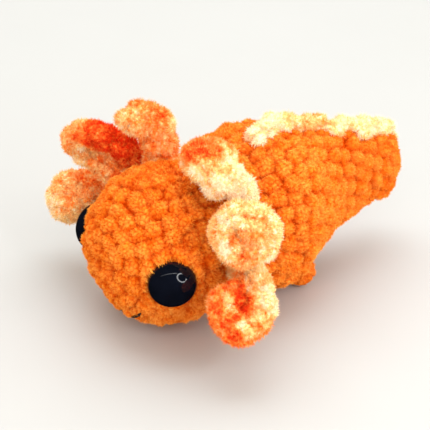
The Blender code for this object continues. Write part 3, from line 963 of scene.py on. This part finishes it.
def tuft_mesh(name, roots, tips, width, attributes, unwrap, chance):
    """One mesh of closed three-sided tufts, each on its own patch of the unwrap."""
    count = len(roots)
    way = unit(tips - roots)
    side = unit(np.cross(way, unit(chance.normal(size=(count, 3)))))
    up = np.cross(way, side)
    turn = np.array([0, math.tau / 3, 2 * math.tau / 3])
    ring = side[:, None] * np.cos(turn)[None, :, None] + up[:, None] * np.sin(turn)[None, :, None]
    wide = width * (0.75 + 0.5 * chance.random(count)) / 2
    base = roots[:, None] + ring * wide[:, None, None]
    points = np.concatenate([base, tips[:, None]], axis=1).reshape(-1, 3)
    points[:, 2] = np.maximum(points[:, 2], 0.0001)
    faces = np.array([[0, 1, 3], [1, 2, 3], [2, 0, 3], [2, 1, 0]])
    faces = (np.arange(count)[:, None, None] * 4 + faces[None]).reshape(-1, 3)
    mesh = bpy.data.meshes.new(name)
    mesh.vertices.add(len(points))
    mesh.vertices.foreach_set("co", points.astype(np.float32).ravel())
    mesh.loops.add(len(faces) * 3)
    mesh.loops.foreach_set("vertex_index", faces.astype(np.int32).ravel())
    mesh.polygons.add(len(faces))
    mesh.polygons.foreach_set("loop_start", np.arange(0, len(faces) * 3, 3, dtype=np.int32))
    mesh.update(calc_edges=True)
    set_attribute(mesh, "along", np.tile([0, 0, 0, 1], count))
    for key, values in attributes.items():
        set_attribute(mesh, key, np.repeat(values, 4))
    patch = np.array([[-1, -0.8], [1, -0.8], [0, 1.0], [0, 0.0]]) * 0.0015
    spots = np.clip(unwrap, 0.002, 0.998)[:, None] + patch[None]
    layer = mesh.uv_layers.new(name="OFBake")
    layer.uv.foreach_set("vector", spots.reshape(-1, 2)[faces.ravel()].astype(np.float32).ravel())
    mesh.polygons.foreach_set("use_smooth", np.zeros(len(faces), bool))
    return mesh


def add_coat(name, mesh, material):
    coat = bpy.data.objects.new(name, mesh)
    bpy.context.scene.collection.objects.link(coat)
    coat.data.materials.append(material)
    finish_piece(coat)
    return coat


MOST_TUFTS = 48000  # in one piece of the body's coat


def body_coat():
    """The body's pile, in pieces from nose to tail. It leaves the eyes free and folds over their rims."""
    spec = sizes()
    chance = np.random.default_rng(spec.seed + 30)
    skin = bpy.data.objects["body_skin"]
    roots, tips, crease = grow_pile(skin, 1.0, chance)[2:]
    keep = tips[:, 2] > 0.0002
    for side in (1, -1):
        flat, deep, outward, radial = from_eye(roots, side)
        keep &= ~((flat < EYE_RADIUS - 0.0008) & (deep > EYE_SIDE_OF_HEAD))
        rim = np.exp(-(((flat - EYE_RADIUS - 0.0006) / 0.0010) ** 2)) * (deep > EYE_SIDE_OF_HEAD)
        above = 0.4 + chance.random(len(roots)) * (0.5 + 0.7 * ease(radial[:, 2], -0.2, 0.8))
        tips = tips + (outward * 0.0007 - radial * 0.0011) * (rim * above)[:, None]
    roots, tips, crease = roots[keep], tips[keep], crease[keep]
    walk, angle = body_places(roots)[:2]
    unwrap = np.stack([angle / math.tau + 0.5, walk / walk.max()], axis=1)
    order = np.argsort(roots[:, 1])
    material = get_material("orange_chenille", orange_chenille)
    pieces = math.ceil(len(order) / MOST_TUFTS)
    for number, part in enumerate(np.array_split(order, pieces)):
        name = f"body_coat_{number + 1}"
        marks = {"crease": crease[part]}
        mesh = tuft_mesh(name, roots[part], tips[part], spec.tuft_width, marks, unwrap[part], chance)
        add_coat(name, mesh, material)


def strand_coat(skin, seed):
    """A strand's pile, left out where the strand is buried in the body."""
    spec = sizes()
    chance = np.random.default_rng(seed)
    corners, shares, roots, tips, crease = grow_pile(skin, 1.5, chance)
    dye = mixed(get_attribute(skin.data, "dye"), corners, shares)
    u = get_attribute(skin.data, "unwrap_u")[corners[:, 0]]
    v = mixed(get_attribute(skin.data, "unwrap_v"), corners, shares)
    width, height, middle = body_section(roots[:, 1])
    across = roots[:, 0] / np.maximum(width, 1e-6)
    over = (roots[:, 2] - middle) / np.maximum(height, 1e-6)
    outside = np.hypot(across, over) > 1 - 0.0025 / np.maximum(height, 0.001)
    keep = outside | (roots[:, 1] < HEAD_Y) | (roots[:, 1] > TAIL_END_Y)
    marks = {"crease": crease[keep], "dye": dye[keep]}
    name = skin.name.replace("_skin", "_coat")
    unwrap = np.stack([u, v], axis=1)[keep]
    mesh = tuft_mesh(name, roots[keep], tips[keep], spec.tuft_width, marks, unwrap, chance)
    add_coat(name, mesh, get_material("variegated_chenille", variegated_chenille))


# ---- crest, eyes and mouth ----


def crest_path(count=120):
    """Over the shoulder and along the ridge to the end of the tail."""
    y = np.linspace(CREST_START_Y, CREST_END_Y, count)
    width, height, middle = body_section(y)
    lean = np.radians(CREST_START_ANGLE * (1 - ease(y, CREST_START_Y, CREST_RIDGE_Y)))
    across = (width + CREST_RISE) * np.sin(lean)
    path = np.stack([across, y, middle + (height + CREST_RISE) * np.cos(lean)], axis=1)
    path[:, 0] += 0.0005 * np.sin(y * math.tau / 0.011)
    for place, hang in CREST_LOOPS:
        swing = hang * np.exp(-(((y - place) / 0.0026) ** 2))
        path[:, 0] += swing
        path[:, 2] -= 0.6 * swing
    return path


def make_eye(side, word):
    middle, outward = eye_place(side)
    deselect()
    bpy.ops.mesh.primitive_uv_sphere_add(segments=72, ring_count=36, radius=EYE_RADIUS, location=(0, 0, 0))
    eye = bpy.context.object
    eye.name = f"eye_{word}_dome"
    dome = points_of(eye.data)
    height = dome[:, 2] / EYE_RADIUS
    dome[:, 2] = np.where(height > 0, EYE_DEPTH * height, -EYE_SEAT * (1 - (1 - np.abs(height)) ** 2))
    set_points(eye.data, dome)
    turn = outward.to_track_quat("Z", "Y").to_matrix().to_4x4()
    eye.data.transform(Matrix.Translation(middle) @ turn)
    cover(eye, get_material("eye_gloss", eye_gloss))
    finish_piece(eye, (f"eye_{word}",))


def mouth_path(count=40):
    path = []
    for share in np.linspace(-1, 1, count):
        x = MOUTH_HALF_WIDTH * float(share)
        z = -MOUTH_MIDDLE_DROP + (MOUTH_MIDDLE_DROP - MOUTH_END_DROP) * float(share) ** 2
        y = -math.sqrt((HEAD_RADIUS - THREAD_RADIUS) ** 2 - x * x - z * z) * HEAD_FRONT / HEAD_RADIUS
        path.append((x, HEAD_MIDDLE.y + y, HEAD_MIDDLE.z + z))
    return np.array(path)


def make_mouth():
    """Two plies of thread, twisted round each other along the mouth."""
    path = mouth_path()
    tangents = unit(np.gradient(path, axis=0))
    outward = unit(path - np.array(HEAD_MIDDLE))
    side = unit(np.cross(tangents, outward))
    turn = np.linspace(0, PLY_TURNS * math.tau, len(path))
    plies = []
    for start in (0, math.pi):
        swing = outward * np.cos(turn + start)[:, None] + side * np.sin(turn + start)[:, None]
        route = path + swing * PLY_SWING - outward * PLY_SUNK
        plies.append(curve_tube(f"ply_{start:.0f}", route, np.ones(len(path)), PLY_RADIUS))
    deselect()
    for ply in plies:
        ply.select_set(True)
    bpy.context.view_layer.objects.active = plies[0]
    bpy.ops.object.join()
    mouth = bpy.context.object
    mouth.name = "mouth_thread"
    cover(mouth, get_material("black_thread", black_thread))
    finish_piece(mouth, ("mouth",))


# ---- studio ----


def make_floor():
    deselect()
    bpy.ops.mesh.primitive_plane_add(size=3.0, location=(0, 0, -0.0001))
    floor = bpy.context.object
    floor.name = "studio_floor"
    made, tree, shader = new_material("studio_paper")
    grain = noise_node(tree, 0.05)
    tint = mix_colour(tree, grain, (0.505, 0.520, 0.515), (0.520, 0.535, 0.530))
    tree.links.new(tint, shader.inputs["Base Color"])
    shader.inputs["Roughness"].default_value = 0.8
    floor.data.materials.append(made)
    floor.visible_glossy = False


def new_lamp(name, shape, energy, size):
    lamp = bpy.data.lights.new(name, "AREA")
    lamp.shape = shape
    lamp.energy = energy
    lamp.size = size
    light = bpy.data.objects.new(name, lamp)
    bpy.context.scene.collection.objects.link(light)
    return light


def add_light(name, energy, size, place, aim, colour):
    """A round lamp that no gloss mirrors."""
    light = new_lamp(name, "DISK", energy, size)
    light.data.color = colour
    light.location = place
    light.rotation_euler = (Vector(aim) - Vector(place)).to_track_quat("-Z", "Y").to_euler()
    light.visible_glossy = False


# An open ring of lamps that the left eye mirrors, square to the line from the eye to the catch light
CATCH_LIGHT = Vector((0.440, 0.080, 0.285))
RING_SHIFT = (-0.050, -0.085)  # of its middle from there, across and up
RING_RADIUS = 0.17
RING_LAMPS = 8
RING_START = 50  # degrees
RING_ARC = 260
RING_ENERGY = 0.23
RING_WIDTH = 0.048

# A long thin lamp that the left eye mirrors too: the azimuth and elevation of its ends, in degrees
STREAK_START = (90, 45)
STREAK_END = (6, 32)
STREAK_LAMPS = 4  # it stands in that many straight pieces, each fainter than the one before
STREAK_AWAY = 0.8  # from the eye
STREAK_ENERGY = 0.22
STREAK_FADE = 0.05
STREAK_WIDTH = 0.030

WORLD_COLOUR = (1.0, 0.865, 0.75, 1.0)
WORLD_STRENGTH = 1.08
CAMERA_TARGET = Vector((0.0065, -0.0216, 0.0364))


def add_strip(name, energy, length, width, place, along, facing):
    """A long lamp that faces one way and lies along another."""
    light = new_lamp(name, "RECTANGLE", energy, length)
    light.data.size_y = width
    turn = Matrix((along, facing.cross(along), facing)).transposed().to_4x4()
    light.matrix_world = Matrix.Translation(place) @ turn


def add_ring(eye):
    back = (CATCH_LIGHT - eye).normalized()
    right = Vector((0, 0, 1)).cross(back).normalized()
    up = back.cross(right)
    middle = CATCH_LIGHT + right * RING_SHIFT[0] + up * RING_SHIFT[1]
    step = math.radians(RING_ARC) / (RING_LAMPS - 1)
    for number in range(RING_LAMPS):
        angle = math.radians(RING_START) + number * step
        outward = right * math.cos(angle) + up * math.sin(angle)
        place = middle + outward * RING_RADIUS
        along = outward.cross(back)
        add_strip(f"ring_{number}", RING_ENERGY, RING_RADIUS * step, RING_WIDTH, place, along, back)


def add_streak(eye):
    start, end = (direction(*map(math.radians, angles)) for angles in (STREAK_START, STREAK_END))
    ends = [start.slerp(end, number / STREAK_LAMPS) * STREAK_AWAY for number in range(STREAK_LAMPS + 1)]
    for number, (first, second) in enumerate(zip(ends, ends[1:])):
        middle = (first + second) / 2
        along = second - first
        energy = STREAK_ENERGY - STREAK_FADE * number
        add_strip(
            f"streak_{number}", energy, along.length, STREAK_WIDTH, eye + middle, along.normalized(),
            middle.normalized())


def make_lights():
    add_light("overhead", 10.2, 1.15, (-0.30, 0.22, 0.92), (0, 0, 0.02), (0.85, 0.945, 1.0))
    add_light("front_fill", 0.9, 0.8, (0.60, -0.60, 0.60), (0, 0, 0.03), (1.0, 0.97, 0.94))
    eye = eye_place(1)[0]
    add_ring(eye)
    add_streak(eye)
    world = bpy.data.worlds.new("studio")
    world.use_nodes = True
    background = world.node_tree.nodes["Background"]
    background.inputs["Color"].default_value = WORLD_COLOUR
    background.inputs["Strength"].default_value = WORLD_STRENGTH
    world.cycles_visibility.glossy = False
    bpy.context.scene.world = world


def make_camera():
    studio = bpy.context.scene.axolotl_studio
    outward = direction(studio.azimuth, studio.elevation)
    camera = bpy.data.cameras.new("camera")
    camera.lens = studio.lens
    camera.sensor_width = 36
    camera.clip_start = 0.01
    view = bpy.data.objects.new("camera", camera)
    view.location = CAMERA_TARGET + outward * studio.distance
    view.rotation_euler = (-outward).to_track_quat("-Z", "Y").to_euler()
    bpy.context.scene.collection.objects.link(view)
    bpy.context.scene.camera = view


# ---- operators ----


class AXOLOTL_OT_studio(bpy.types.Operator):
    """Lay the floor, hang the lights and set the camera"""

    bl_idname = "axolotl.studio"
    bl_label = "Studio"

    def execute(self, context):
        context.scene.view_settings.view_transform = "Standard"
        make_floor()
        make_lights()
        make_camera()
        return {"FINISHED"}


class AXOLOTL_OT_body(bpy.types.Operator):
    """Crochet one skin over head, trunk, tail and legs"""

    bl_idname = "axolotl.body"
    bl_label = "Body"

    def execute(self, context):
        body_skin()
        return {"FINISHED"}


class AXOLOTL_OT_gills(bpy.types.Operator):
    """Crochet the six curled gills"""

    bl_idname = "axolotl.gills"
    bl_label = "Gills"

    def execute(self, context):
        for number, (name, (radius, top_dye, way, spots)) in enumerate(GILLS.items()):
            path, shares, dyes = np.split(smooth_path(way), (3, 4), axis=1)
            shares = shares[:, 0] * rounded_shares(len(path), 8)
            placed = spots_on(path, len(way) - 1, radius, spots)
            strand_skin(
                name + "_skin", path, shares, dyes[:, 0], radius, top_dye, placed, GILL_STITCH, 1.0,
                40 + 5 * number)
        return {"FINISHED"}


class AXOLOTL_OT_crest(bpy.types.Operator):
    """Lay the crest's strand over the shoulder and along the ridge"""

    bl_idname = "axolotl.crest"
    bl_label = "Crest"

    def execute(self, context):
        path = crest_path()
        shares = rounded_shares(len(path), 6)
        shares = shares * (1.04 + 0.13 * np.sin(np.linspace(0, 13, len(path)) * math.tau))
        shares = shares * (1 - 0.5 * ease(path[:, 1], CREST_THIN_Y, CREST_END_Y))
        strand_skin("crest_skin", path, shares, CREST_DYES, CREST_RADIUS, 0.0, (), CREST_STITCH, 0.5, 90)
        return {"FINISHED"}


class AXOLOTL_OT_coats(bpy.types.Operator):
    """Raise the pile on every skin"""

    bl_idname = "axolotl.coats"
    bl_label = "Coats"

    def execute(self, context):
        body_coat()
        for number, name in enumerate([*GILLS, "crest"]):
            strand_coat(bpy.data.objects[name + "_skin"], 200 + number)
        return {"FINISHED"}


class AXOLOTL_OT_eyes(bpy.types.Operator):
    """Set the two domed eyes"""

    bl_idname = "axolotl.eyes"
    bl_label = "Eyes"

    def execute(self, context):
        for side, word in ((1, "left"), (-1, "right")):
            make_eye(side, word)
        return {"FINISHED"}


class AXOLOTL_OT_mouth(bpy.types.Operator):
    """Stitch the mouth"""

    bl_idname = "axolotl.mouth"
    bl_label = "Mouth"

    def execute(self, context):
        make_mouth()
        return {"FINISHED"}


class AXOLOTL_PT_panel(bpy.types.Panel):
    bl_label = "Crocheted axolotl"
    bl_idname = "AXOLOTL_PT_panel"
    bl_space_type = "VIEW_3D"
    bl_region_type = "UI"
    bl_category = "Axolotl"

    def draw(self, context):
        for operator in OPERATORS:
            self.layout.operator(operator.bl_idname)
        scene = context.scene
        for group in (scene.axolotl_sizes, scene.axolotl_colours, scene.axolotl_studio):
            box = self.layout.box()
            for name in group.__annotations__:
                box.prop(group, name)


OPERATORS = (
    AXOLOTL_OT_studio,
    AXOLOTL_OT_body,
    AXOLOTL_OT_gills,
    AXOLOTL_OT_crest,
    AXOLOTL_OT_eyes,
    AXOLOTL_OT_mouth,
    AXOLOTL_OT_coats,
)
CLASSES = (YarnSizes, YarnColours, StudioSettings, *OPERATORS, AXOLOTL_PT_panel)


def register():
    for thing in CLASSES:
        bpy.utils.register_class(thing)
    bpy.types.Scene.axolotl_sizes = PointerProperty(type=YarnSizes)
    bpy.types.Scene.axolotl_colours = PointerProperty(type=YarnColours)
    bpy.types.Scene.axolotl_studio = PointerProperty(type=StudioSettings)


def unregister():
    del bpy.types.Scene.axolotl_studio
    del bpy.types.Scene.axolotl_colours
    del bpy.types.Scene.axolotl_sizes
    for thing in reversed(CLASSES):
        bpy.utils.unregister_class(thing)


def main():
    register()
    bpy.ops.axolotl.studio()
    bpy.ops.axolotl.body()
    bpy.ops.axolotl.gills()
    bpy.ops.axolotl.crest()
    bpy.ops.axolotl.eyes()
    bpy.ops.axolotl.mouth()
    bpy.ops.axolotl.coats()


if __name__ == "__main__":
    main()
